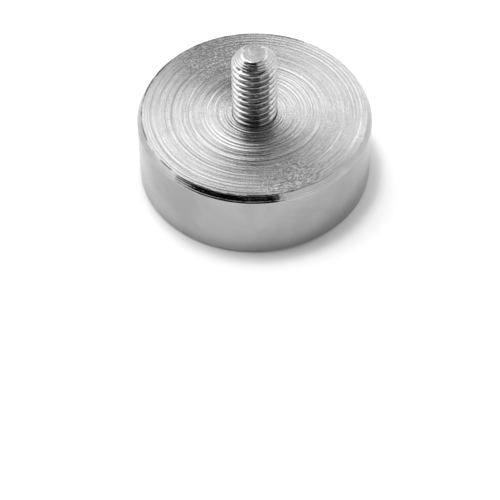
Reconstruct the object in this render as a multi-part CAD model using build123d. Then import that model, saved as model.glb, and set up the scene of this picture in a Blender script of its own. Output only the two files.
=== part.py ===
from build123d import *

import os
from math import radians, tan

# Pot magnet with a threaded stud. Everything is turned about +Z, in millimetres.
# The origin is the centre of the holding face, in the plane of the pot's rim,
# and the stud stands up from the closed back.

# Pot: a turned steel cup.
pot_diameter = 25.0
pot_height = 8.5
wall_thickness = 2.0
back_thickness = 3.3
shoulder_chamfer_width = 0.45   # the steep chamfer round the back, measured inwards
shoulder_chamfer_height = 0.8   # the same chamfer, measured down the wall
shoulder_crown = 0.04           # how far that chamfer bulges past a straight cone
rim_edge_break = 0.25           # outer edge of the holding face
mouth_edge_break = 0.15         # inner edge of the holding face

# Magnet: a plated disc that sits on the cup's floor.
magnet_recess = 0.2             # from the rim plane back to the magnet's face
magnet_edge_chamfer = 0.3
potting_gap = 0.5               # between the magnet and the wall, filled with resin
meniscus_sag = 0.15             # how far the resin's free surface sinks

# Stud: M5 x 0.8, with a plain shank staked into the back.
thread_diameter = 4.9           # over the crests
seat_cone_depth = 0.45          # the thread's run-out cone, which sits in the back
thread_length = 8.5             # from the back to the stud's tip
tip_diameter = 2.7              # flat end of the lead-in cone
tip_cone_angle = 45.0           # degrees between the cone and the axis
shank_diameter = 4.0
staked_diameter = 4.8           # the tail, spread into a countersink in the floor
staked_depth = 0.6

# Worked out from the sizes above.
pot_radius = pot_diameter / 2
cavity_radius = pot_radius - wall_thickness
cavity_depth = pot_height - back_thickness
magnet_radius = cavity_radius - potting_gap
stud_tip = pot_height + thread_length
thread_radius = thread_diameter / 2
shank_radius = shank_diameter / 2
staked_radius = staked_diameter / 2


def turned(*edges):
    """Turn a closed outline of edges, drawn as (radius, height), about +Z."""
    return revolve(Plane.XZ * make_face(edges), Axis.Z)


def bulged(start, end, bulge):
    """An arc from start to end whose middle stands bulge off its chord, on the chord's left."""
    chord = Vector(*end) - Vector(*start)
    middle = Vector(*start) + chord / 2
    off_chord = Vector(-chord.Y, chord.X).normalized() * bulge
    return ThreePointArc(start, middle + off_chord, end)


def pot():
    """The cup: holding rim, wall, back with a steep chamfer, and a bore countersunk at both ends."""
    chamfer_foot = (pot_radius, pot_height - shoulder_chamfer_height)
    chamfer_top = (pot_radius - shoulder_chamfer_width, pot_height)
    mouth = (cavity_radius + mouth_edge_break, 0)
    outside = Polyline(
        mouth,
        (pot_radius - rim_edge_break, 0),
        (pot_radius, rim_edge_break),
        chamfer_foot,
    )
    inside = Polyline(
        chamfer_top,
        (thread_radius, pot_height),
        (shank_radius, pot_height - seat_cone_depth),
        (shank_radius, cavity_depth + staked_depth),
        (staked_radius, cavity_depth),
        (cavity_radius, cavity_depth),
        (cavity_radius, mouth_edge_break),
        mouth,
    )
    return turned(outside, bulged(chamfer_foot, chamfer_top, -shoulder_crown), inside)


def threaded_stud():
    """The stud: thread envelope with its lead-in cone, seat cone, plain shank and staked tail."""
    tip_radius = tip_diameter / 2
    cone_height = (thread_radius - tip_radius) / tan(radians(tip_cone_angle))
    outline = Polyline(
        (0, cavity_depth),
        (staked_radius, cavity_depth),
        (shank_radius, cavity_depth + staked_depth),
        (shank_radius, pot_height - seat_cone_depth),
        (thread_radius, pot_height),
        (thread_radius, stud_tip - cone_height),
        (tip_radius, stud_tip),
        (0, stud_tip),
        close=True,
    )
    return turned(outline)


def magnet():
    """The magnet disc, with both of its edges chamfered."""
    face = magnet_recess
    seat = cavity_depth
    outline = Polyline(
        (0, face),
        (magnet_radius - magnet_edge_chamfer, face),
        (magnet_radius, face + magnet_edge_chamfer),
        (magnet_radius, seat - magnet_edge_chamfer),
        (magnet_radius - magnet_edge_chamfer, seat),
        (0, seat),
        close=True,
    )
    return turned(outline)


def potting_ring():
    """The resin: fills the gap and the magnet's inner chamfer, with a sunken free surface."""
    free_surface = magnet_recess + magnet_edge_chamfer
    at_magnet = (magnet_radius, free_surface)
    at_wall = (cavity_radius, free_surface)
    filling = Polyline(
        at_wall,
        (cavity_radius, cavity_depth),
        (magnet_radius - magnet_edge_chamfer, cavity_depth),
        (magnet_radius, cavity_depth - magnet_edge_chamfer),
        at_magnet,
    )
    return turned(filling, bulged(at_magnet, at_wall, meniscus_sag))


os.makedirs("parts", exist_ok=True)
for piece in (pot, threaded_stud, magnet, potting_ring):
    export_step(piece(), f"parts/{piece.__name__}.step")
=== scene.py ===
"""A pot magnet with a threaded stud: turned steel pot, rolled stud, nickel magnet and cast potting."""
import random
from collections import namedtuple
from math import cos, exp, hypot, inf, pi, radians, sin, tan

import bpy
from bpy.props import FloatProperty, FloatVectorProperty, IntProperty, PointerProperty
from bpy.types import Operator, Panel, PropertyGroup
from mathutils import Matrix, Vector


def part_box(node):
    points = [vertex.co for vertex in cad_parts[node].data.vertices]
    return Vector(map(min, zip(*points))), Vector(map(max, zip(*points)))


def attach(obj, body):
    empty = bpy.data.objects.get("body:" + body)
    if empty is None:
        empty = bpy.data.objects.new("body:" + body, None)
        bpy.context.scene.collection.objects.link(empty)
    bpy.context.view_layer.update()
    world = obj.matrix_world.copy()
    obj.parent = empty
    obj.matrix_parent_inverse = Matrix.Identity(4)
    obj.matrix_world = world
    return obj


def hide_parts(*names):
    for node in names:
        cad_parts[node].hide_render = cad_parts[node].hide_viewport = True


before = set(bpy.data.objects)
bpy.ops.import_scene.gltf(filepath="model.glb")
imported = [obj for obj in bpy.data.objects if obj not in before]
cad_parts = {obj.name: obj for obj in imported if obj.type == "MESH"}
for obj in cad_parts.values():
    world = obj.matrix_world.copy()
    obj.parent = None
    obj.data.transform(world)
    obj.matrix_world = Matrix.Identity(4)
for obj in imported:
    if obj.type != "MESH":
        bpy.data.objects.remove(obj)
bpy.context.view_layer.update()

bl_info = {
    "name": "Pot magnet",
    "version": (1, 0, 0),
    "blender": (4, 5, 0),
    "location": "View3D > Sidebar > Pot magnet",
    "description": "Models a pot magnet with a threaded stud over its CAD frame",
    "category": "Add Mesh",
}

MM = 0.001
FULL_TURN = 2 * pi
SAME_POINT = 0.0001 * MM

BACK_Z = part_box("pot")[1][2]
TAIL_Z, TIP_Z = (corner[2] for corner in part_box("threaded_stud"))
MAGNET_LOW_Z, MAGNET_HIGH_Z = (corner[2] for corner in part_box("magnet"))
POTTING_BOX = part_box("potting_ring")


# ---------------- sizes and colours

def length(name, description, value):
    """A length that the user may change, given in millimetres and kept in metres."""
    return FloatProperty(
        name=name, description=description, default=value * MM, unit="LENGTH", precision=5
    )


def share(name, description, value):
    """A plain factor from 0 to 1."""
    return FloatProperty(
        name=name, description=description, default=value, min=0.0, max=1.0, subtype="FACTOR"
    )


def colour(name, description, value):
    """A linear colour."""
    return FloatVectorProperty(
        name=name, description=description, default=value, min=0.0, max=1.0, subtype="COLOR"
    )


def turn(name, description, degrees):
    """An angle, given in degrees."""
    return FloatProperty(
        name=name, description=description, default=radians(degrees), unit="ROTATION", subtype="ANGLE"
    )


class PotSizes(PropertyGroup):
    radius: length("Radius", "Outside radius of the pot", 12.5)
    height: length("Height", "Height of the back face over the rim", BACK_Z / MM)
    rim_break: length("Rim break", "Edge break outside the holding rim", 0.25)
    mouth_break: length("Mouth break", "Edge break inside the holding rim", 0.15)
    shoulder_width: length("Shoulder width", "How far the shoulder chamfer reaches in", 0.45)
    shoulder_height: length("Shoulder height", "How far the shoulder chamfer reaches down", 0.8)
    shoulder_crown: length("Shoulder crown", "How far the shoulder chamfer bulges", 0.012)
    cavity_radius: length("Cavity radius", "Radius of the cavity for the magnet", 10.5)
    cavity_floor: length("Cavity floor", "Height of the cavity's floor over the rim", 5.2)
    bore_radius: length("Bore radius", "Radius of the bore that the stud is staked in", 2.0)
    seat_radius: length("Seat radius", "Radius of the seat cone at the back face", 2.45)
    seat_depth: length("Seat depth", "Depth of the seat cone", 0.45)
    stake_radius: length("Stake radius", "Radius of the flare for the staked tail", 2.4)
    stake_depth: length("Stake depth", "Depth of the flare for the staked tail", 0.6)
    edge_round: length("Edge round", "Rounding on the shoulder's two edges", 0.06)
    feed: length("Feed", "Distance between points across the back face", 0.04)
    steps: IntProperty(name="Steps", description="Steps of the spin", default=256, min=64, max=360)
    seed: IntProperty(name="Seed", description="Seed of the turning marks", default=7)

    @property
    def flat_radius(self):
        """Radius at which the back face meets the shoulder."""
        return self.radius - self.shoulder_width

    @property
    def shoulder_foot(self):
        """Height at which the shoulder meets the wall."""
        return self.height - self.shoulder_height


class StudSizes(PropertyGroup):
    crest_radius: length("Crest radius", "Outside radius of the thread", 2.41)
    root_radius: length("Root radius", "Radius at the bottom of the thread", 2.05)
    crest_flat: length("Crest flat", "Half the width of the thread's crest before it is rounded", 0.10)
    crest_round: length("Crest round", "How far the crest's rounding reaches from its corner", 0.10)
    root_round: length("Root round", "How far the root's rounding reaches from its corner", 0.04)
    pitch: length("Pitch", "Rise of the thread in one turn", 0.8)
    tip_radius: length("Tip radius", "Radius of the end face", 1.35)
    shank_radius: length("Shank radius", "Radius of the plain shank in the bore", 2.0)
    tail_radius: length("Tail radius", "Radius of the staked tail", 2.4)
    tail_height: length("Tail height", "Length of the staked tail's cone", 0.6)
    seat_depth: length("Seat depth", "Depth of the run-out cone in its seat", 0.45)
    steps: IntProperty(name="Steps", description="Steps in one turn", default=120, min=48, max=256)
    start_turn: turn("Thread start", "Direction in which the thread's first crest lies", 200.0)


class MagnetSizes(PropertyGroup):
    radius: length("Radius", "Radius of the magnet disc", 10.0)
    edge: length("Edge", "Size of the rounded edge", 0.3)
    steps: IntProperty(name="Steps", description="Steps round the disc", default=192, min=48, max=256)


class PottingSizes(PropertyGroup):
    sag: length("Sag", "How far the meniscus sinks between the walls", 0.15)
    steps: IntProperty(name="Steps", description="Steps of the spin", default=192, min=48, max=256)


class FinishSettings(PropertyGroup):
    steel: colour("Steel", "Colour of the bright steel", (0.39, 0.39, 0.39))
    dull_steel: colour("Dull steel", "Colour of the steel where it is stained", (0.22, 0.22, 0.22))
    # Colour of the painted shade, the painted dark reflection along the back face's edge, and the torn
    # specks
    painted_shade_and_speck_steel: colour("Dark steel", "Colour of the dirt and oil on the steel", (0.07, 0.07, 0.07))
    # Also the colour of the painted highlight and sheen on the back face's arcs
    worn_and_highlight_steel: colour("Worn steel", "Colour of the steel where it is rubbed bright", (0.56, 0.56, 0.56))
    nickel: colour("Nickel", "Colour of the magnet's plating", (0.60, 0.56, 0.51))
    dull_nickel: colour("Dull nickel", "Colour of the plating where it is stained", (0.42, 0.38, 0.34))
    worn_nickel: colour("Worn nickel", "Colour of the plating on its rubbed edges", (0.78, 0.728, 0.663))
    resin: colour("Resin", "Colour of the potting", (0.022, 0.022, 0.026))
    dusty_resin: colour("Dusty resin", "Colour of the potting under its dust", (0.075, 0.072, 0.07))
    bubble_resin: colour("Bubble resin", "Colour of the potting in its bubbles", (0.0088, 0.0088, 0.0104))
    back_roughness: share("Back roughness", "Roughness of the turned back face", 0.2)
    wall_roughness: share("Wall roughness", "Roughness of the pot's wall", 0.2)
    shoulder_roughness: share("Shoulder roughness", "Roughness of the shoulder chamfer", 0.1)
    rim_roughness: share("Rim roughness", "Roughness of the ground rim", 0.32)
    thread_roughness: share("Thread roughness", "Roughness of the rolled thread", 0.12)
    cone_roughness: share("Cone roughness", "Roughness of the turned tip cone", 0.18)
    end_roughness: share("End roughness", "Roughness of the sheared end face", 0.288)
    nickel_roughness: share("Nickel roughness", "Roughness of the magnet's plating", 0.24)
    resin_roughness: share("Resin roughness", "Roughness of the potting", 0.38)
    stain: share("Stain", "How far the stains show", 0.3)
    # This share also sets how strongly the painted highlight on the back face's arcs shows
    wear: share("Wear", "How far the rubbed edges show", 0.7)


class StageSettings(PropertyGroup):
    distance: length("Distance", "Camera distance from the aim point", 230.0)
    elevation: turn("Elevation", "Camera height over the floor", 49.502)
    roll: turn("Roll", "Camera turn about its own axis", -0.503)
    aim_x: length("Aim X", "Aim point, sideways", -0.614)
    aim_z: length("Aim Z", "Aim point, upwards", -14.149)
    lens: FloatProperty(name="Lens", description="Focal length in millimetres", default=144.25)


# ---------------- modelling helpers

LEVEL = 0.95  # a face is level when the z of its normal is past this


def switch_to(mode):
    """Switch to edit mode or object mode."""
    bpy.ops.object.mode_set(mode=mode)


def deselect_everything():
    """Leave edit mode and select nothing."""
    if bpy.context.object and bpy.context.object.mode != "OBJECT":
        switch_to("OBJECT")
    bpy.ops.object.select_all(action="DESELECT")


def select_only(piece):
    """Select one piece and make it the active one."""
    deselect_everything()
    piece.select_set(True)
    bpy.context.view_layer.objects.active = piece


def select_faces(piece, wanted):
    """Go to edit mode with only the wanted faces selected."""
    switch_to("EDIT")
    bpy.ops.mesh.select_mode(type="FACE")
    bpy.ops.mesh.select_all(action="DESELECT")
    switch_to("OBJECT")
    for face in piece.data.polygons:
        face.select = wanted(face)
    switch_to("EDIT")


def begin_outline(name, radius, height):
    """Add a small plane and merge it into the first point of an outline in the XZ plane."""
    deselect_everything()
    bpy.ops.mesh.primitive_plane_add(size=MM, location=(0, 0, 0))
    piece = bpy.context.object
    piece.name = name
    switch_to("EDIT")
    bpy.ops.mesh.select_mode(type="VERT")
    bpy.ops.mesh.merge(type="CENTER")
    bpy.ops.transform.translate(value=(radius, 0, height))
    return piece


def extrude_outline(start, points):
    """Extrude the selected point along the outline."""
    at = start
    for radius, height in points:
        step = (radius - at[0], 0, height - at[1])
        bpy.ops.mesh.extrude_vertices_move(TRANSFORM_OT_translate={"value": step})
        at = (radius, height)


def point_outwards():
    """Point all faces outwards."""
    bpy.ops.mesh.select_all(action="SELECT")
    bpy.ops.mesh.normals_make_consistent(inside=False)


def merge_doubles():
    """Merge the points that lie together."""
    bpy.ops.mesh.select_all(action="SELECT")
    bpy.ops.mesh.remove_doubles(threshold=SAME_POINT)


def lathe(name, outline, steps, closed):
    """Spin an outline of (radius, height) points once round Z, with its seam and poles closed."""
    piece = begin_outline(name, *outline[0])
    extrude_outline(outline[0], outline[1:] + outline[:1] if closed else outline[1:])
    merge_doubles()
    bpy.ops.mesh.spin(steps=steps, angle=FULL_TURN, center=(0, 0, 0), axis=(0, 0, 1))
    merge_doubles()
    point_outwards()
    switch_to("OBJECT")
    return piece


def modify(piece, kind, **settings):
    """Give the active piece a modifier with its settings, and apply it."""
    bpy.ops.object.modifier_add(type=kind)
    made = piece.modifiers[-1]
    for name, value in settings.items():
        setattr(made, name, value)
    bpy.ops.object.modifier_apply(modifier=made.name)


def arc(start, end, bulge, count):
    """Points after start up to end, on an arc that bulges outwards by bulge."""
    along = (end[0] - start[0], end[1] - start[1])
    chord = hypot(*along)
    side = (-along[1] / chord, along[0] / chord)
    points = []
    for number in range(1, count + 1):
        part = number / count
        rise = 4 * bulge * part * (1 - part)
        points.append(tuple(start[i] + along[i] * part + side[i] * rise for i in (0, 1)))
    return points


def toward(corner, point, size):
    """The place at a distance of size from the corner, on the way to the point."""
    part = size / hypot(point[0] - corner[0], point[1] - corner[1])
    return tuple(corner[i] + (point[i] - corner[i]) * part for i in (0, 1))


def rounded(before, corner, after, size, count):
    """Points that round a corner of an outline over the given size."""
    first = toward(corner, before, size)
    last = toward(corner, after, size)
    points = []
    for number in range(count + 1):
        part = number / count
        a, b, c = (1 - part) ** 2, 2 * part * (1 - part), part ** 2
        points.append(tuple(a * first[i] + b * corner[i] + c * last[i] for i in (0, 1)))
    return points


def between(start, end, parts):
    """Points at the given parts of the way from start to end."""
    return [tuple(Vector(start).lerp(Vector(end), part)) for part in parts]


def finish_piece(piece, slot_name, *nodes, sharp_degrees=40):
    """Smooth the piece up to its sharp edges, and put it on the frame in place of its CAD nodes."""
    select_only(piece)
    bpy.ops.object.shade_smooth_by_angle(angle=radians(sharp_degrees))
    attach(piece, "root")
    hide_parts(*nodes)


# ---------------- node helpers

Place = namedtuple("Place", "point x y z radius")


def is_socket(value):
    """Whether a value comes from a node."""
    return isinstance(value, bpy.types.NodeSocket)


def feed(value, socket):
    """Link a socket to another, or set it to a plain value."""
    if is_socket(value):
        socket.id_data.links.new(value, socket)
    else:
        socket.default_value = value


def give(node, sockets):
    """Give some of a node's sockets their values and links."""
    for socket, value in sockets.items():
        feed(value, node.inputs[socket])


def add_node(tree, kind, sockets, **settings):
    """A node with its settings, and with its sockets' values and links."""
    made = tree.nodes.new(kind)
    for name, value in settings.items():
        setattr(made, name, value)
    give(made, sockets)
    return made


def math_node(operation, *values):
    """A Math node between plain values and sockets, of which there is at least one."""
    tree = next(value.id_data for value in values if is_socket(value))
    return add_node(tree, "ShaderNodeMath", dict(enumerate(values)), operation=operation).outputs[0]


def plus(a, b):
    """The sum of two values or sockets."""
    return math_node("ADD", a, b)


def minus(a, b):
    """The first value or socket less the second."""
    return math_node("SUBTRACT", a, b)


def times(a, b):
    """The product of two values or sockets."""
    return math_node("MULTIPLY", a, b)


def larger(a, b):
    """The larger of two values or sockets."""
    return math_node("MAXIMUM", a, b)


def span(a, b):
    """The length of the slope over two sides that stand square to each other."""
    return math_node("SQRT", plus(times(a, a), times(b, b)))


def weighted_sum(*parts):
    """The sum of heights, each times its weight."""
    total = None
    for height, weight in parts:
        part = times(height, weight)
        total = part if total is None else plus(total, part)
    return total


def ramp(value, start, end, low=0.0, high=1.0):
    """A smooth rise from low to high as the value goes from start to end."""
    sockets = {"Value": value, "From Min": start, "From Max": end, "To Min": low, "To Max": high}
    made = add_node(value.id_data, "ShaderNodeMapRange", sockets, interpolation_type="SMOOTHSTEP")
    return made.outputs["Result"]


def mixed(share_of_b, a, b):
    """A colour between a and b."""
    sockets = {0: share_of_b, 6: a, 7: b}
    return add_node(share_of_b.id_data, "ShaderNodeMix", sockets, data_type="RGBA").outputs[2]


def noise(vector, scale, detail=2.0, roughness=0.5):
    """A noise texture's value."""
    sockets = {"Vector": vector, "Scale": scale, "Detail": detail, "Roughness": roughness}
    return add_node(vector.id_data, "ShaderNodeTexNoise", sockets).outputs["Fac"]


def object_place(tree):
    """The place on the piece: the point itself, its x, y and z, and its distance from the axis."""
    point = tree.nodes.new("ShaderNodeTexCoord").outputs["Object"]
    x, y, z = add_node(tree, "ShaderNodeSeparateXYZ", {0: point}).outputs
    return Place(point, x, y, z, span(x, y))


def vector_of(tree, x, y, z):
    """A vector from three values or sockets."""
    return add_node(tree, "ShaderNodeCombineXYZ", {0: x, 1: y, 2: z}).outputs[0]


# ---------------- node groups

NEAR_AXIS = 0.01 * MM  # the least radius that arcs are worked out for


def socket_kind(label):
    """The kind of a group's socket: the label says so where it is a colour."""
    return "NodeSocketColor" if label.lower().endswith("colour") else "NodeSocketFloat"


def make_group(name, fill, values, outputs):
    """A node group with a socket for each output, and one for each value, which is its default."""
    tree = bpy.data.node_groups.new(name, "ShaderNodeTree")
    for label, value in values.items():
        socket = tree.interface.new_socket(label, in_out="INPUT", socket_type=socket_kind(label))
        if not is_socket(value):
            socket.default_value = value
    for label in outputs:
        tree.interface.new_socket(label, in_out="OUTPUT", socket_type=socket_kind(label))
    given = tree.nodes.new("NodeGroupInput").outputs
    result = tree.nodes.new("NodeGroupOutput").inputs
    fill(tree, given, result)
    return tree


def use_group(tree, name, fill, values, *outputs):
    """Place a shared group with its own values in a material, and give its outputs back by name."""
    shared = bpy.data.node_groups.get(name) or make_group(name, fill, values, outputs)
    return add_node(tree, "ShaderNodeGroup", values, node_tree=shared).outputs


def fill_turning_marks(tree, given, result):
    """Rings broken into arcs, across the radius or along the axis."""
    at = object_place(tree)
    reach = larger(at.radius, NEAR_AXIS)
    beyond = times(given["Along axis"], minus(at.z, at.radius))
    across = times(plus(at.radius, beyond), 1 / MM)
    side = times(math_node("DIVIDE", at.x, reach), given["Arc breaks"])
    front = times(math_node("DIVIDE", at.y, reach), given["Arc breaks"])
    rings = times(across, given["Rings per mm"])
    spread = vector_of(tree, plus(side, given["Offset"]), front, rings)
    feed(noise(spread, scale=1.0, detail=3.0, roughness=0.6), result["Height"])


def turning_marks(tree, rings, breaks, along=0.0, offset=0.0):
    """Fine arcs left by a turning tool, as a height."""
    values = {"Rings per mm": rings, "Arc breaks": breaks, "Along axis": along, "Offset": offset}
    return use_group(tree, "Turning_marks", fill_turning_marks, values, "Height")["Height"]


def fill_grinding_marks(tree, given, result):
    """Straight scratches along X, broken up along their length."""
    at = object_place(tree)
    breaks_per_mm = 0.25
    along = times(at.x, breaks_per_mm / MM)
    across = times(times(at.y, 1 / MM), given["Lines per mm"])
    marks = noise(vector_of(tree, along, across, 0.0), scale=1.0, detail=3.0, roughness=0.7)
    feed(marks, result["Height"])


def grinding_marks(tree, lines):
    """Fine straight scratches left by a grinding wheel, as a height."""
    values = {"Lines per mm": lines}
    return use_group(tree, "Grinding_marks", fill_grinding_marks, values, "Height")["Height"]


def fill_grain(tree, given, result):
    """Noise of a chosen fineness."""
    scale = times(given["Grains per mm"], 1 / MM)
    feed(noise(object_place(tree).point, scale), result["Height"])


def grain(tree, grains):
    """Fine pits and bumps, as a height."""
    return use_group(tree, "Fine_grain", fill_grain, {"Grains per mm": grains}, "Height")["Height"]


def fill_uneven_tone(tree, given, result):
    """Soft patches of a second colour, duller or glossier than the rest."""
    scale = times(given["Patches per mm"], 1 / MM)
    cloud = noise(object_place(tree).point, scale, detail=4.0, roughness=0.6)
    patches = ramp(cloud, 0.38, 0.68)
    shown = times(patches, given["Stain share"])
    feed(mixed(shown, given["Colour"], given["Stain colour"]), result["Colour"])
    unchanged = 0.4
    change = times(minus(patches, unchanged), given["Roughness change"])
    feed(plus(given["Roughness"], change), result["Roughness"])


def uneven_tone(shader, clean, stained, share_of_stain, patches, roughness, change):
    """Give the shader a colour and a roughness with soft stains."""
    values = {"Colour": (*clean, 1), "Stain colour": (*stained, 1), "Stain share": share_of_stain}
    values |= {"Patches per mm": patches, "Roughness": roughness, "Roughness change": change}
    made = use_group(shader.id_data, "Uneven_tone", fill_uneven_tone, values, "Colour", "Roughness")
    give(shader, {"Base Color": made["Colour"], "Roughness": made["Roughness"]})


def fill_edge_wear(tree, given, result):
    """A broken line round the axis where an edge has been rubbed."""
    at = object_place(tree)
    beside = minus(at.radius, given["Edge radius"])
    above = times(minus(at.z, given["Edge height"]), given["One height"])
    away = math_node("DIVIDE", span(beside, above), given["Width"])
    near = ramp(away, 0.35, 1.0, low=1.0, high=0.0)
    scale = times(given["Spots per mm"], 1 / MM)
    spots = noise(at.point, scale, detail=3.0, roughness=0.6)
    feed(times(near, ramp(spots, 0.38, 0.6)), result["Wear"])


def edge_wear(tree, radius, height, width, spots, one_height=1.0):
    """Mask of the rubbed places on a round edge, or with one_height at 0 at its radius all the way up."""
    values = {"Edge radius": radius, "Edge height": height, "One height": one_height}
    values |= {"Width": width, "Spots per mm": spots}
    return use_group(tree, "Edge_wear", fill_edge_wear, values, "Wear")["Wear"]


# ---------------- pot

TOOL_MARKS = (
    # radius, width and depth in millimetres
    (2.82, 0.10, 0.022),
    (3.15, 0.10, 0.020),
    (3.82, 0.11, 0.026),
    (4.18, 0.10, 0.026),
    (4.93, 0.12, 0.040),
    (5.36, 0.10, 0.030),
    (5.78, 0.11, 0.036),
    (6.36, 0.09, 0.012),
    (7.11, 0.10, 0.036),
    (7.57, 0.08, 0.010),
    (8.40, 0.08, 0.005),
    (9.28, 0.10, 0.012),
    (9.77, 0.09, 0.010),
    (10.45, 0.11, 0.020),
    (10.87, 0.10, 0.018),
    (11.27, 0.10, 0.020),
    (11.62, 0.09, 0.020),
    (11.88, 0.08, 0.014),
)
CUT_ZONES = (
    # outer radius, deepest fine groove and least distance between grooves in millimetres
    (7.2, 0.026, 0.16),
    (9.1, 0.004, 0.12),
    (inf, 0.008, 0.14),
)
GROOVE_WIDTHS = (0.05, 0.09)  # in millimetres
GROOVE_DEPTHS = (0.3, 1.0)  # as shares of the zone's deepest groove
GROOVE_REACH = 3  # widths from its middle at which a groove has run out
SEAT_MARGIN = 0.2 * MM
EDGE_MARGIN = 0.1 * MM

SHOULDER_RINGS = (
    # distance along the cut, width and depth in millimetres
    (0.14, 0.05, 0.005),
    (0.36, 0.05, 0.005),
    (0.64, 0.045, 0.006),
)
CROWN_POINTS = 28
FOOT_ROUND_SHARE = 0.9
RIM_ROUND = 0.05 * MM
WALL_MARGIN = 0.3 * MM
MOUTH_MARGIN = 0.1 * MM

WALL, BACK_FACE, SHOULDER, RIM = 0, 1, 2, 3
# how far a face's middle may lie from the plane or edge that gives it its finish
BACK_SLACK = 0.06 * MM
EDGE_SLACK = 0.05 * MM
FOOT_SLACK = 0.02 * MM
RIM_SLOPE = -0.5  # the z that a rim face's normal is below


def turned_depth(place, grooves):
    """Depth of the turning marks at a place across them."""
    depth = 0.0
    for middle, width, deep in grooves:
        away = (place - middle) / width
        if abs(away) < GROOVE_REACH:
            depth += deep * exp(-away * away)
    return depth


def in_metres(rings):
    """Grooves given in millimetres, in metres."""
    return [(place * MM, width * MM, depth * MM) for place, width, depth in rings]


def turning_grooves(sizes):
    """Grooves that the tool left on the back face, as (radius, width, depth)."""
    dice = random.Random(sizes.seed)
    grooves = in_metres(TOOL_MARKS)
    radius = sizes.seat_radius + SEAT_MARGIN
    while radius < sizes.flat_radius - EDGE_MARGIN:
        deepest, nearest = next(zone[1:] for zone in CUT_ZONES if radius < zone[0] * MM)
        width = dice.uniform(*GROOVE_WIDTHS)
        depth = dice.uniform(*GROOVE_DEPTHS) * deepest
        grooves.append((radius, width * MM, depth * MM))
        radius += dice.uniform(nearest, 2 * nearest) * MM
    return grooves


def back_face(sizes):
    """Outline of the back face, from its seat outwards."""
    inner = sizes.seat_radius
    outer = sizes.flat_radius
    grooves = turning_grooves(sizes)
    count = int((outer - inner) / sizes.feed)
    radii = [inner + (outer - inner) * number / count for number in range(count)]
    return [(radius, sizes.height - turned_depth(radius, grooves)) for radius in radii]


def ringed(line, rings):
    """Cut rings into a nearly straight run of outline points, on the run's right-hand side."""
    start, end = Vector(line[0]), Vector(line[-1])
    along = (end - start).normalized()
    into = Vector((along.y, -along.x))
    grooves = in_metres(rings)
    cut = []
    for point in line:
        depth = turned_depth((Vector(point) - start).dot(along), grooves)
        cut.append(tuple(Vector(point) + into * depth))
    return cut


def pot_outline(sizes):
    """The whole section of the pot, from the seat over the back, down the wall and back inside."""
    shoulder_top = (sizes.flat_radius, sizes.height)
    shoulder_foot = (sizes.radius, sizes.shoulder_foot)
    rim_edge = (sizes.radius, sizes.rim_break)
    rim = (sizes.radius - sizes.rim_break, 0)
    mouth = sizes.cavity_radius + sizes.mouth_break
    outline = [(sizes.bore_radius, sizes.height - sizes.seat_depth)]
    outline += back_face(sizes)[:-1]
    outline += rounded((0, sizes.height), shoulder_top, shoulder_foot, sizes.edge_round, count=5)
    crown = arc(outline[-1], shoulder_foot, sizes.shoulder_crown, CROWN_POINTS)[:-1]
    crown = ringed(crown, SHOULDER_RINGS)
    outline += crown
    outline += rounded(crown[-1], shoulder_foot, rim_edge, sizes.edge_round * FOOT_ROUND_SHARE, count=3)
    outline += [(sizes.radius, sizes.shoulder_foot - WALL_MARGIN)]
    outline += [(sizes.radius, sizes.rim_break + WALL_MARGIN)]
    outline += rounded(shoulder_foot, rim_edge, rim, RIM_ROUND, count=3)
    outline += rounded(rim_edge, rim, (0, 0), RIM_ROUND, count=3)
    outline += [(mouth + MOUTH_MARGIN, 0), (mouth, 0), (sizes.cavity_radius, sizes.mouth_break)]
    outline += [(sizes.cavity_radius, sizes.cavity_floor), (sizes.stake_radius, sizes.cavity_floor)]
    outline += [(sizes.bore_radius, sizes.cavity_floor + sizes.stake_depth)]
    return outline


def give_pot_finishes(pot, sizes):
    """Give each face of the pot its finish by its place."""
    coat(pot, (wall_steel, back_face_steel, shoulder_steel, rim_steel), sizes)
    for face in pot.data.polygons:
        reach = hypot(face.center.x, face.center.y)
        on_flat = reach < sizes.flat_radius - EDGE_SLACK
        if face.center.z > sizes.height - BACK_SLACK and on_flat:
            face.material_index = BACK_FACE
        elif face.center.z > sizes.shoulder_foot - FOOT_SLACK and not on_flat:
            face.material_index = SHOULDER
        elif face.normal.z < RIM_SLOPE and face.center.z < sizes.rim_break:
            face.material_index = RIM
        else:
            face.material_index = WALL


class POTMAGNET_OT_pot(Operator):
    """Turn the steel pot with its marked back face and crowned shoulder"""

    bl_idname = "pot_magnet.pot"
    bl_label = "Pot"

    def execute(self, context):
        sizes = context.scene.pot_magnet_pot
        pot = lathe("Turned_pot", pot_outline(sizes), sizes.steps, closed=True)
        give_pot_finishes(pot, sizes)
        finish_piece(pot, "pot", "pot")
        return {"FINISHED"}


# ---------------- stud

FLANK_ANGLE = radians(30)
FLANK_PARTS = (0.08, 0.92)  # of its length, where a flank has points
TIP_RINGS = (
    # distance along the cone, width and depth in millimetres
    (0.22, 0.06, 0.020),
    (0.50, 0.06, 0.024),
    (0.78, 0.06, 0.024),
    (1.06, 0.06, 0.020),
)
TIP_ROUND = 0.12 * MM
CONE_POINTS = 48
CREST_CLEARANCE = 0.05 * MM  # between the crests and the form
FORM_BOTTOM_Z = BACK_Z - 0.5 * MM
# the thread is made longer than the form at both ends, and cut square between the two
THREAD_START_Z = BACK_Z - 1.6 * MM
SPARE_TURNS = 3
ROD_BOTTOM_Z = BACK_Z - 0.6 * MM
ROD_TOP_Z = TIP_Z + 0.1 * MM

THREAD, TIP_CONE, END_FACE = 0, 1, 2
END_SLACK = 0.1 * MM
CONE_SLACK = 0.03 * MM
CONE_REACH = 1.3 * MM
BOTTOM_SLACK = 0.01 * MM


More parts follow.
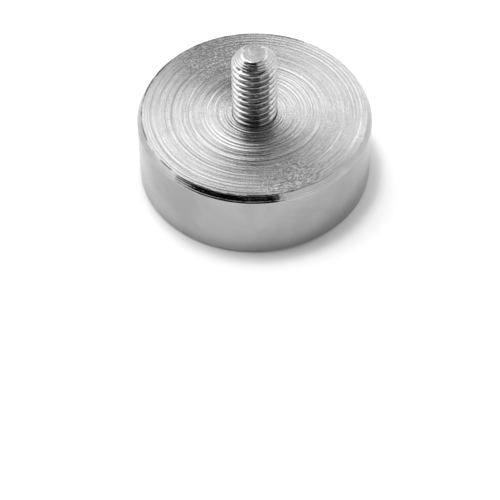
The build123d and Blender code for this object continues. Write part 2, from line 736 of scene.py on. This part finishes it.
def thread_outline(sizes):
    """One pitch of the thread from crest to crest, rounded at its crests and root."""
    flat = sizes.crest_flat
    foot = flat + (sizes.crest_radius - sizes.root_radius) * tan(FLANK_ANGLE)
    top, edge = (sizes.crest_radius, 0), (sizes.crest_radius, flat)
    corner, floor = (sizes.root_radius, foot), (sizes.root_radius, 0.5 * sizes.pitch)
    shoulder = rounded(top, edge, corner, sizes.crest_round, count=6)
    valley = rounded(edge, corner, floor, sizes.root_round, count=3)
    rise = [top, *shoulder, *between(shoulder[-1], valley[0], FLANK_PARTS), *valley]
    fall = [(radius, sizes.pitch - height) for radius, height in reversed(rise)]
    return rise + fall


def threaded_rod(sizes):
    """A long rod of continuous thread with flat ends."""
    turns = int((TIP_Z - THREAD_START_Z) / sizes.pitch) + SPARE_TURNS
    outline = [(radius, height + THREAD_START_Z) for radius, height in thread_outline(sizes)]
    rod = begin_outline("Rolled_stud", *outline[0])
    extrude_outline(outline[0], outline[1:])
    bpy.ops.mesh.select_all(action="SELECT")
    bpy.ops.transform.rotate(value=-sizes.start_turn, orient_axis="Z", center_override=(0, 0, 0))
    switch_to("OBJECT")
    modify(
        rod, "SCREW", angle=FULL_TURN, screw_offset=sizes.pitch, iterations=turns,
        steps=sizes.steps, render_steps=sizes.steps, use_merge_vertices=False,
    )
    switch_to("EDIT")
    merge_doubles()
    point_outwards()
    for height, downwards in ((ROD_BOTTOM_Z, True), (ROD_TOP_Z, False)):
        bpy.ops.mesh.select_all(action="SELECT")
        bpy.ops.mesh.bisect(
            plane_co=(0, 0, height), plane_no=(0, 0, 1), use_fill=True,
            clear_inner=downwards, clear_outer=not downwards, threshold=SAME_POINT,
        )
    point_outwards()
    switch_to("OBJECT")
    return rod


def stud_form(sizes):
    """The turned form that the thread is cut to: seat cone below and tip cone above."""
    clear = sizes.crest_radius + CREST_CLEARANCE
    cone_foot = (clear, TIP_Z - (clear - sizes.tip_radius))
    middle = (0, TIP_Z)
    edge = rounded(cone_foot, (sizes.tip_radius, TIP_Z), middle, TIP_ROUND, count=4)
    parts = [number / CONE_POINTS for number in range(1, CONE_POINTS)]
    cone = ringed(between(edge[0], cone_foot, parts), TIP_RINGS)
    outline = [
        (0, FORM_BOTTOM_Z),
        (sizes.shank_radius, FORM_BOTTOM_Z),
        (sizes.shank_radius, BACK_Z - sizes.seat_depth),
        (clear, BACK_Z + (clear - sizes.crest_radius)),
        cone_foot,
        *reversed(cone),
        *edge,
        middle,
    ]
    return lathe("Stud_form", outline, sizes.steps, closed=False)


def keep_shared(piece, form):
    """Keep what the piece and the form share, and remove the form."""
    select_only(piece)
    modify(piece, "BOOLEAN", operation="INTERSECT", solver="EXACT", object=form)
    bpy.data.objects.remove(form)


def add_shank(rod, sizes):
    """Extrude the bottom face down through the bore and spread it into the staked tail."""
    def at_bottom(face):
        return face.normal.z < -LEVEL and abs(face.center.z - FORM_BOTTOM_Z) < BOTTOM_SLACK

    select_faces(rod, at_bottom)
    drop = TAIL_Z + sizes.tail_height - FORM_BOTTOM_Z
    bpy.ops.mesh.extrude_region_move(TRANSFORM_OT_translate={"value": (0, 0, drop)})
    bpy.ops.mesh.extrude_region_move(TRANSFORM_OT_translate={"value": (0, 0, -sizes.tail_height)})
    spread = sizes.tail_radius / sizes.shank_radius
    bpy.ops.transform.resize(value=(spread, spread, 1), center_override=(0, 0, TAIL_Z))
    switch_to("OBJECT")


def give_stud_finishes(rod, sizes):
    """Give each face of the stud its finish by its place."""
    coat(rod, (thread_steel, tip_cone_steel, end_face_steel), sizes)
    for face in rod.data.polygons:
        reach = hypot(face.center.x, face.center.y)
        under_cone = TIP_Z + sizes.tip_radius - face.center.z - reach
        if face.normal.z > LEVEL and face.center.z > TIP_Z - END_SLACK:
            face.material_index = END_FACE
        elif under_cone < CONE_SLACK and face.center.z > TIP_Z - CONE_REACH:
            face.material_index = TIP_CONE
        else:
            face.material_index = THREAD


class POTMAGNET_OT_stud(Operator):
    """Roll the stud's thread, cut its tip and seat cones, and extrude its staked shank"""

    bl_idname = "pot_magnet.stud"
    bl_label = "Stud"

    def execute(self, context):
        sizes = context.scene.pot_magnet_stud
        rod = threaded_rod(sizes)
        keep_shared(rod, stud_form(sizes))
        add_shank(rod, sizes)
        give_stud_finishes(rod, sizes)
        finish_piece(rod, "stud", "threaded_stud")
        return {"FINISHED"}


# ---------------- magnet and potting

class POTMAGNET_OT_magnet(Operator):
    """Grind the magnet disc and round its edges"""

    bl_idname = "pot_magnet.magnet"
    bl_label = "Magnet"

    def execute(self, context):
        sizes = context.scene.pot_magnet_disc
        deselect_everything()
        bpy.ops.mesh.primitive_cylinder_add(
            vertices=sizes.steps, radius=sizes.radius, depth=MAGNET_HIGH_Z - MAGNET_LOW_Z,
            location=(0, 0, (MAGNET_LOW_Z + MAGNET_HIGH_Z) / 2),
        )
        disc = context.object
        disc.name = "Magnet_disc"
        bpy.ops.object.transform_apply(location=True, rotation=False, scale=False)
        select_faces(disc, lambda face: abs(face.normal.z) > LEVEL)
        bpy.ops.mesh.bevel(offset=sizes.edge, segments=4, profile=0.6, affect="EDGES")
        point_outwards()
        switch_to("OBJECT")
        coat(disc, [nickel], sizes)
        finish_piece(disc, "magnet", "magnet", sharp_degrees=30)
        return {"FINISHED"}


class POTMAGNET_OT_potting(Operator):
    """Cast the potting between the magnet and the pot, with its sunken surface"""

    bl_idname = "pot_magnet.potting"
    bl_label = "Potting"

    def execute(self, context):
        sizes = context.scene.pot_magnet_potting
        inside = context.scene.pot_magnet_disc.radius
        low = POTTING_BOX[0][2]
        outside, high = POTTING_BOX[1][0], POTTING_BOX[1][2]
        outline = [(inside, low), (inside, high), (outside, high), (outside, low)]
        outline += arc((outside, low), (inside, low), -sizes.sag, count=8)[:-1]
        ring = lathe("Potting_ring", outline, sizes.steps, closed=True)
        coat(ring, [resin])
        finish_piece(ring, "potting", "potting_ring")
        return {"FINISHED"}


# ---------------- finishes

QUARTER = 0.25  # of a turn, which spreads the gloss across the marks
RUBBED_SMOOTHER = 0.3  # share of the roughness that rubbing takes away
TORN_AND_SHADED_ZONES = (
    # x, y and radius in millimetres: where the tool tore the surface instead of cutting it, and where a
    # painted shade darkens the whole zone
    (-4.9, 8.2, 5.0),
    (3.8, -9.7, 4.5),
    (0.8, 4.6, 2.2),
)
TORN_CORE = 0.4  # share of a zone's radius within which it is torn all over and fully under its painted shade
EDGE_LINE_INSET = 0.02 * MM
LIP_INSET = 0.1 * MM
SHADED_FOOT = (BACK_Z + 0.6 * MM, BACK_Z + 5.2 * MM)  # heights between which the painted shade on the stud thins out


def new_material(name):
    """A material with its Principled shader."""
    material = bpy.data.materials.new(name)
    material.use_nodes = True
    return material, material.node_tree, material.node_tree.nodes["Principled BSDF"]


def coat(piece, finishes, *sizes):
    """Give the piece a material for each finish, with the finish's name."""
    for fill in finishes:
        material, tree, shader = new_material(fill.__name__.capitalize())
        fill(tree, shader, *sizes)
        piece.data.materials.append(material)


def finish():
    """The colours, roughnesses and wear that the user has set."""
    return bpy.context.scene.pot_magnet_finish


def bump(shader, distance, *heights):
    """Feed the shader's normal with heights, each given with its weight."""
    sockets = {"Strength": 1.0, "Distance": distance, "Height": weighted_sum(*heights)}
    made = add_node(shader.id_data, "ShaderNodeBump", sockets)
    give(shader, {"Normal": made.outputs[0]})


def round_grain(shader, amount):
    """Spread the gloss across marks that run round the axis."""
    tangent = add_node(shader.id_data, "ShaderNodeTangent", {}, direction_type="RADIAL", axis="Z")
    sockets = {"Tangent": tangent.outputs[0], "Anisotropic": amount, "Anisotropic Rotation": QUARTER}
    give(shader, sockets)


def cover(shader, mask, tone):
    """Lay a plain colour over what the shader's colour is so far."""
    below = shader.inputs["Base Color"].links[0].from_socket
    give(shader, {"Base Color": mixed(mask, below, (*tone, 1))})


def roughen(shader, mask, amount):
    """Add to the shader's roughness where the mask is."""
    below = shader.inputs["Roughness"].links[0].from_socket
    give(shader, {"Roughness": weighted_sum((below, 1.0), (mask, amount))})


def steel_look(shader, roughness, *wears_and_highlights, patches, change, stain=1.0):
    """Uneven steel, lightened in places by rubbing and on the back face's arcs by a painted highlight,
    each a mask given with its strength.
    """
    look = finish()
    uneven_tone(shader, look.steel, look.dull_steel, stain * look.stain, patches, roughness, change)
    for wear, strength in wears_and_highlights:
        shown = times(wear, strength * look.wear)
        cover(shader, shown, look.worn_and_highlight_steel)
        roughen(shader, shown, -RUBBED_SMOOTHER * roughness)
    give(shader, {"Metallic": 1.0})


def torn_and_shaded_zones(tree):
    """Mask of the zones where the back face is torn and carries a painted shade."""
    at = object_place(tree)
    mask = 0.0
    for x, y, radius in TORN_AND_SHADED_ZONES:
        away = span(minus(at.x, x * MM), minus(at.y, y * MM))
        zone = ramp(away, TORN_CORE * radius * MM, radius * MM, low=1.0, high=0.0)
        mask = larger(zone, mask)
    return mask


def painted_edge_reflection(tree, sizes):
    """Mask of the painted dark reflection round the back face's edge: a broken dark line, wider at its
    rear and fading out on its right.
    """
    at = object_place(tree)
    width = ramp(at.y, 0.0, 7.0 * MM, low=0.12 * MM, high=0.26 * MM)
    line = edge_wear(tree, sizes.flat_radius - EDGE_LINE_INSET, sizes.height, width, spots=0.45)
    return times(line, ramp(at.x, 4.5 * MM, 8.0 * MM, low=1.0, high=0.1))


def coarse_arc_light_and_shade(tree):
    """Masks of a painted highlight on the coarse arcs' ridge lines and of painted shade in their grooves:
    both fade to the right, but the highlight does not fade in front.
    """
    at = object_place(tree)
    arcs = turning_marks(tree, rings=4.2, breaks=0.35, offset=3.0)
    shown = ramp(at.x, -3.0 * MM, 5.0 * MM, low=1.0, high=0.4)
    # A painted sheen over the back face's front right, which also keeps the highlight there
    front_right = ramp(minus(at.x, at.y), 11.0 * MM, 14.5 * MM, low=0.0, high=2.2)
    ridge_highlights = times(ramp(arcs, 0.55, 0.66), larger(shown, front_right))
    grooves = times(ramp(arcs, 0.36, 0.44, low=0.4, high=0.0), shown)
    return weighted_sum((ridge_highlights, 1.0), (front_right, 0.35)), grooves


def back_face_steel(tree, shader, sizes):
    """The turned back face: coarse and fine arcs with painted highlights and shade, torn zones under a
    painted shade, and a painted dark reflection along its edge.
    """
    ridge_highlights, grooves = coarse_arc_light_and_shade(tree)
    steel_look(shader, finish().back_roughness, (ridge_highlights, 0.6), patches=0.35, change=0.05, stain=0.4)
    torn = torn_and_shaded_zones(tree)
    tears = turning_marks(tree, rings=8.0, breaks=30.0, offset=11.0)
    # Torn specks over a painted shade that darkens the whole zone
    torn_specks_and_shade = times(ramp(tears, 0.4, 0.62, low=0.14, high=0.6), torn)
    # Painted dark reflection along the back face's edge, also a slight dent in the bump
    edge = painted_edge_reflection(tree, sizes)
    # Torn specks, painted shade and the painted edge reflection, all laid in the dark colour
    painted_shade_and_specks = larger(larger(torn_specks_and_shade, edge), grooves)
    cover(shader, painted_shade_and_specks, finish().painted_shade_and_speck_steel)
    roughen(shader, torn_specks_and_shade, 0.1)
    round_grain(shader, 0.8)
    coarse = turning_marks(tree, rings=4.0, breaks=0.25)
    fine = turning_marks(tree, rings=9.0, breaks=1.3, offset=7.0)
    flecks = times(grain(tree, grains=7.0), plus(times(torn, 0.5), 0.4))
    bump(shader, 0.06 * MM, (coarse, 0.4), (fine, 0.5), (flecks, 1.0), (edge, -0.5))


def wall_steel(tree, shader, sizes):
    """The smooth plated wall."""
    top = edge_wear(tree, sizes.radius, sizes.shoulder_foot, width=0.12 * MM, spots=1.2)
    foot = edge_wear(tree, sizes.radius, sizes.rim_break, width=0.18 * MM, spots=1.0)
    steel_look(shader, finish().wall_roughness, (top, 0.5), (foot, 1.0), patches=0.16, change=0.08)
    round_grain(shader, 0.4)
    marks = turning_marks(tree, rings=6.0, breaks=1.0, along=1.0)
    bump(shader, 0.002 * MM, (marks, 1.0), (grain(tree, grains=0.5), 6.0))


def shoulder_steel(tree, shader, sizes):
    """The freshly cut shoulder, with a painted dark reflection along its upper edge."""
    # Painted dark reflection along the shoulder's upper edge
    top = painted_edge_reflection(tree, sizes)
    foot = edge_wear(tree, sizes.radius, sizes.shoulder_foot, width=0.12 * MM, spots=1.2)
    steel_look(shader, finish().shoulder_roughness, (foot, 0.5), patches=0.5, change=0.06)
    cover(shader, top, finish().painted_shade_and_speck_steel)
    marks = turning_marks(tree, rings=5.0, breaks=1.5, along=1.0)
    bump(shader, 0.005 * MM, (marks, 1.0), (grain(tree, grains=3.0), 2.2), (top, -2.0))


def rim_steel(tree, shader, sizes):
    """The ground holding rim."""
    outside = edge_wear(tree, sizes.radius - sizes.rim_break, 0.0, width=0.14 * MM, spots=1.2)
    inside = edge_wear(tree, sizes.cavity_radius + sizes.mouth_break, 0.0, width=0.12 * MM, spots=1.2)
    steel_look(shader, finish().rim_roughness, (outside, 1.0), (inside, 1.0), patches=0.4, change=0.12)
    bump(shader, 0.02 * MM, (grinding_marks(tree, lines=6.0), 1.0), (grain(tree, grains=5.0), 0.3))


def thread_steel(tree, shader, sizes):
    """The rolled thread: bright crests, painted shade in the root, and painted shade all over near its
    foot.
    """
    crest = edge_wear(tree, sizes.crest_radius, 0.0, width=0.06 * MM, spots=3.0, one_height=0.0)
    # Painted shade in the thread's root, where the groove falls dark
    root = edge_wear(tree, sizes.root_radius, 0.0, width=0.24 * MM, spots=2.0, one_height=0.0)
    at = object_place(tree)
    uneven = times(noise(at.point, scale=0.5 / MM), 2.0 * MM)
    # Painted shade, darker towards the stud's foot at the back face
    foot = ramp(plus(at.z, uneven), *SHADED_FOOT, low=0.38, high=0.0)
    steel_look(shader, finish().thread_roughness, (crest, 0.3), patches=0.8, change=0.06)
    cover(shader, larger(root, foot), finish().painted_shade_and_speck_steel)
    marks = turning_marks(tree, rings=9.0, breaks=1.0, along=1.0, offset=3.0)
    bump(shader, 0.006 * MM, (marks, 1.0), (grain(tree, grains=2.5), 1.0))


def tip_cone_steel(tree, shader, sizes):
    """The turned tip cone."""
    edge = edge_wear(tree, sizes.tip_radius, TIP_Z, width=0.08 * MM, spots=2.5)
    steel_look(shader, finish().cone_roughness, (edge, 0.8), patches=0.8, change=0.08)
    marks = turning_marks(tree, rings=7.0, breaks=1.0, along=1.0, offset=5.0)
    bump(shader, 0.02 * MM, (marks, 1.0), (grain(tree, grains=3.0), 0.5))


def end_face_steel(tree, shader, sizes):
    """The sheared end face, dull and a little uneven."""
    lip = edge_wear(tree, sizes.tip_radius - LIP_INSET, TIP_Z, width=0.12 * MM, spots=1.8)
    steel_look(shader, finish().end_roughness, (lip, 1.0), patches=1.2, change=0.16)
    pits = noise(object_place(tree).point, scale=2.2 / MM, detail=4.0)
    bump(shader, 0.05 * MM, (pits, 1.0))


def nickel(tree, shader, sizes):
    """Nickel plating over the ground magnet: faint straight scratches, stains and rubbed edges."""
    look = finish()
    uneven_tone(
        shader, look.nickel, look.dull_nickel, share_of_stain=0.4,
        patches=0.45, roughness=look.nickel_roughness, change=0.14,
    )
    give(shader, {"Metallic": 1.0})
    middle = sizes.radius - 0.5 * sizes.edge
    edge = edge_wear(tree, middle, MAGNET_LOW_Z, width=0.22 * MM, spots=1.2)
    cover(shader, times(edge, look.wear), look.worn_nickel)
    scratches = grinding_marks(tree, lines=5.0)
    deep = ramp(scratches, 0.56, 0.72)
    roughen(shader, deep, 0.2)
    bump(shader, 0.016 * MM, (scratches, 1.0), (deep, -0.6), (grain(tree, grains=1.2), 0.5))


def resin(tree, shader):
    """Dark potting with small bubbles, a wavy surface and settled dust."""
    look = finish()
    uneven_tone(
        shader, look.resin, look.dusty_resin, share_of_stain=0.8,
        patches=0.5, roughness=look.resin_roughness, change=0.25,
    )
    sockets = {"Scale": 1.1 / MM, "Vector": object_place(tree).point}
    cells = add_node(tree, "ShaderNodeTexVoronoi", sockets)
    bubbles = ramp(cells.outputs["Distance"], 0.08, 0.2, low=1.0, high=0.0)
    cover(shader, bubbles, look.bubble_resin)
    bump(shader, 0.05 * MM, (bubbles, -0.6), (grain(tree, grains=0.9), 1.0))


# ---------------- stage

FLOOR_SIZE = 4.0
FLOOR_TONE = (0.8, 0.8, 0.8, 1)
WHITE = (1, 1, 1, 1)
FLOOR_LIFT = 0.34
TOWARD_KEY = (-0.45, 0.35, 0.85)
CONTACT_REACH = 2.4 * MM
CONTACT_SHADE = (0.5, 0.95)
# A tent panel: where it starts and ends round the object, counted from the right-hand side, and its
# lowest and highest height over the floor, each in degrees with the softness of that edge after it,
# and then its level, where 1 is the white of the floor.
TENT_PANELS = {
    "left_low": (110, 6, 198, 2, -8, 2, 22, 2, 1.85),
    "left_gleam": (196, 2, 212, 7, 1.5, 1.5, 6.5, 1.5, 1.3),
    "left_middle": (110, 6, 140, 4, 22, 2, 42, 2, 1.8),
    "left_bright": (140, 4, 190, 2, 22, 2, 42, 2, 2.8),
    "key": (100, 5, 150, 6, 42, 2, 58, 2, 2.4),
    "key_left": (150, 6, 194, 20, 42, 2, 58, 2, 3.2),
    "key_high": (96, 4, 197, 24, 58, 2, 84, 3, 3.2),
    "back_high": (35, 3, 115, 3, 39, 2, 51, 2, 2.1),
    "right_low": (4, 3, 84, 3, -8, 2, 38, 2, 1.65),
    "right_window": (-4, 6, 51, 3, 38, 2, 57, 2, 2.1),
    "right_high": (20, 5, 70, 8, 57, 2, 66, 4, 0.6),
    "front_right": (-69, 4, 2, 2, -7, 2, 47, 1.5, 1.1),
    "front_strip": (204, 2, 289, 1, 22, 1.5, 31, 1.5, 0.75),
}
ROOF_LEVEL = 0.33
ROOF_LEAN = 0.262
ROOF_DEPTH = 0.42
ROOF_EDGE = 0.012
ROOF_START = (sin(radians(55)), sin(radians(59)))
CLIP_START = 0.01


def lay_floor():
    """A wide white floor that also shows white in the metal, with a painted shadow close under the object
    where ambient occlusion cuts its glow.
    """
    deselect_everything()
    bpy.ops.mesh.primitive_plane_add(size=FLOOR_SIZE, location=(0, 0, 0))
    floor = bpy.context.object
    floor.name = "Floor"
    material, tree, shader = new_material("Floor_white")
    give(shader, {"Base Color": FLOOR_TONE, "Roughness": 1.0, "Specular IOR Level": 0.0})
    path = tree.nodes.new("ShaderNodeLightPath").outputs
    seen = larger(path["Is Camera Ray"], path["Is Glossy Ray"])
    sockets = {"Distance": CONTACT_REACH, "Normal": vector_of(tree, *TOWARD_KEY)}
    open_sky = add_node(tree, "ShaderNodeAmbientOcclusion", sockets, samples=8)
    # The glow fades where ambient occlusion, tilted toward the key light, finds the object near: a
    # painted contact shadow
    lift = ramp(open_sky.outputs["AO"], *CONTACT_SHADE, low=0.0, high=FLOOR_LIFT)
    give(shader, {"Emission Color": WHITE, "Emission Strength": times(seen, lift)})
    floor.data.materials.append(material)


def light_world():
    """A light tent: pale panels, few of them at the front, and the brightest at the back left."""
    world = bpy.data.worlds.new("Light_tent")
    bpy.context.scene.world = world
    world.use_nodes = True
    tree = world.node_tree
    direction = tree.nodes.new("ShaderNodeTexCoord").outputs["Generated"]
    x, y, z = add_node(tree, "ShaderNodeSeparateXYZ", {0: direction}).outputs
    around = math_node("ARCTAN2", y, x)
    height = math_node("ARCSINE", z)
    level = roof_light(y, z)
    for panel in TENT_PANELS.values():
        level = plus(level, panel_light(around, height, panel))
    give(tree.nodes["Background"], {"Color": WHITE, "Strength": level})


def roof_light(y, z):
    """The light of the roof panel, whose front edge is straight."""
    ahead = plus(y, times(z, ROOF_LEAN))
    behind_front = ramp(ahead, -ROOF_EDGE, ROOF_EDGE)
    before_back = ramp(ahead, ROOF_DEPTH - ROOF_EDGE, ROOF_DEPTH + ROOF_EDGE, ROOF_LEVEL, 0.0)
    return times(times(behind_front, ramp(z, *ROOF_START)), before_back)


def panel_light(around, height, panel):
    """The light of one panel of the tent in each direction."""
    start, start_soft, end, end_soft, low, low_soft, high, high_soft, level = panel
    middle = (start + end) / 2
    turned = math_node("WRAP", minus(around, radians(middle)), pi, -pi)
    light = level
    for value, limit, soft, sign in (
        (turned, start - middle, start_soft, 1),
        (turned, end - middle, end_soft, -1),
        (height, low, low_soft, 1),
        (height, high, high_soft, -1),
    ):
        edge = ramp(value, radians(limit - sign * soft), radians(limit + sign * soft))
        light = times(edge, light)
    return light


def place_camera(settings):
    """The camera, aimed a little below the object."""
    aim = Vector((settings.aim_x, 0, settings.aim_z))
    back = Vector((0, -cos(settings.elevation), sin(settings.elevation)))
    tilt = Matrix.Rotation(pi / 2 - settings.elevation, 3, "X") @ Matrix.Rotation(settings.roll, 3, "Z")
    bpy.ops.object.camera_add(location=aim + back * settings.distance, rotation=tilt.to_euler())
    camera = bpy.context.object
    camera.name = "Camera"
    camera.data.lens = settings.lens
    camera.data.clip_start = CLIP_START
    bpy.context.scene.camera = camera


class POTMAGNET_OT_stage(Operator):
    """Set up the floor, the studio lights and the camera"""

    bl_idname = "pot_magnet.stage"
    bl_label = "Stage"

    def execute(self, context):
        lay_floor()
        light_world()
        place_camera(context.scene.pot_magnet_stage)
        context.scene.view_settings.view_transform = "Standard"
        return {"FINISHED"}


# ---------------- add-on

class POTMAGNET_PT_sidebar(Panel):
    """Lists the pieces of the pot magnet"""

    bl_idname = "POTMAGNET_PT_sidebar"
    bl_label = "Pot magnet"
    bl_space_type = "VIEW_3D"
    bl_region_type = "UI"
    bl_category = "Pot magnet"

    def draw(self, context):
        for operator in BUILD_ORDER:
            self.layout.operator(operator.bl_idname)
        for name in SETTINGS:
            box = self.layout.box()
            settings = getattr(context.scene, name)
            for key in settings.__annotations__:
                box.prop(settings, key)


SETTINGS = {
    "pot_magnet_pot": PotSizes,
    "pot_magnet_stud": StudSizes,
    "pot_magnet_disc": MagnetSizes,
    "pot_magnet_potting": PottingSizes,
    "pot_magnet_finish": FinishSettings,
    "pot_magnet_stage": StageSettings,
}
BUILD_ORDER = (
    POTMAGNET_OT_pot,
    POTMAGNET_OT_stud,
    POTMAGNET_OT_magnet,
    POTMAGNET_OT_potting,
    POTMAGNET_OT_stage,
)
ALL_CLASSES = (*SETTINGS.values(), *BUILD_ORDER, POTMAGNET_PT_sidebar)


def register():
    """Register the classes and hang the settings on the scene."""
    for kind in ALL_CLASSES:
        bpy.utils.register_class(kind)
    for name, kind in SETTINGS.items():
        setattr(bpy.types.Scene, name, PointerProperty(type=kind))


def unregister():
    """Take the settings off the scene and unregister the classes."""
    for name in SETTINGS:
        delattr(bpy.types.Scene, name)
    for kind in reversed(ALL_CLASSES):
        bpy.utils.unregister_class(kind)


def main():
    """Build every piece in order."""
    register()
    bpy.ops.pot_magnet.pot()
    bpy.ops.pot_magnet.stud()
    bpy.ops.pot_magnet.magnet()
    bpy.ops.pot_magnet.potting()
    bpy.ops.pot_magnet.stage()


if __name__ == "__main__":
    main()
